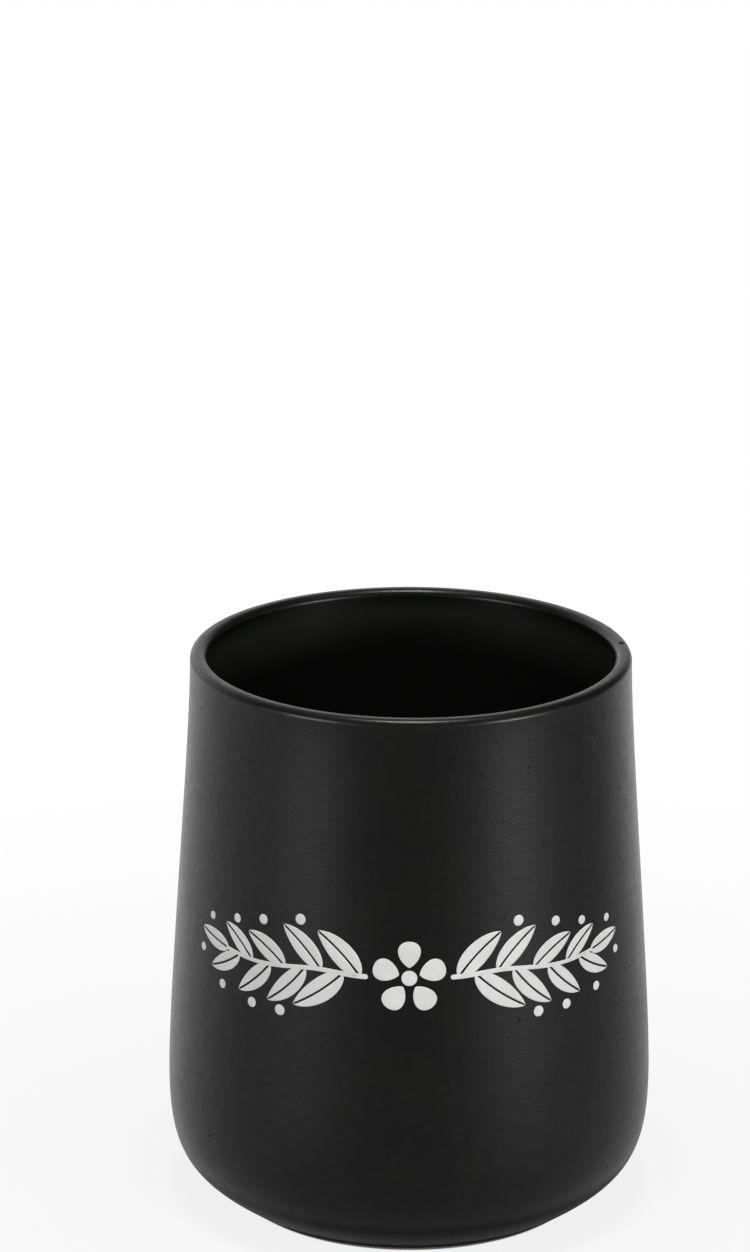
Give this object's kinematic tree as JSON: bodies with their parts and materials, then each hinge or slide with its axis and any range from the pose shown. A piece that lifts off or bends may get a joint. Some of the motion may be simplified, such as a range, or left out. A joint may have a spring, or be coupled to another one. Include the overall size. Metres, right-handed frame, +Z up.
{
  "type": "utensil crock",
  "caption": "Open stoneware crock with a full belly, rounded heel and plain rounded rim, standing on a soft ring set into its foot; holds kitchen tools upright.",
  "frame": {"origin": "on the pot's axis, level with the underside of the soft ring that meets the table", "axes": "+Z up along the pot's axis; -Y is the decorated front and +X is to the viewer's right"},
  "size_m": [0.152, 0.152, 0.178],
  "materials": {
    "black_glaze": "satin black glaze over stoneware",
    "soft_rubber": "matte black silicone"
  },
  "bodies": {
    "root": {"crock_body": "black_glaze", "non_slip_ring": "soft_rubber"}
  },
  "joints": []
}
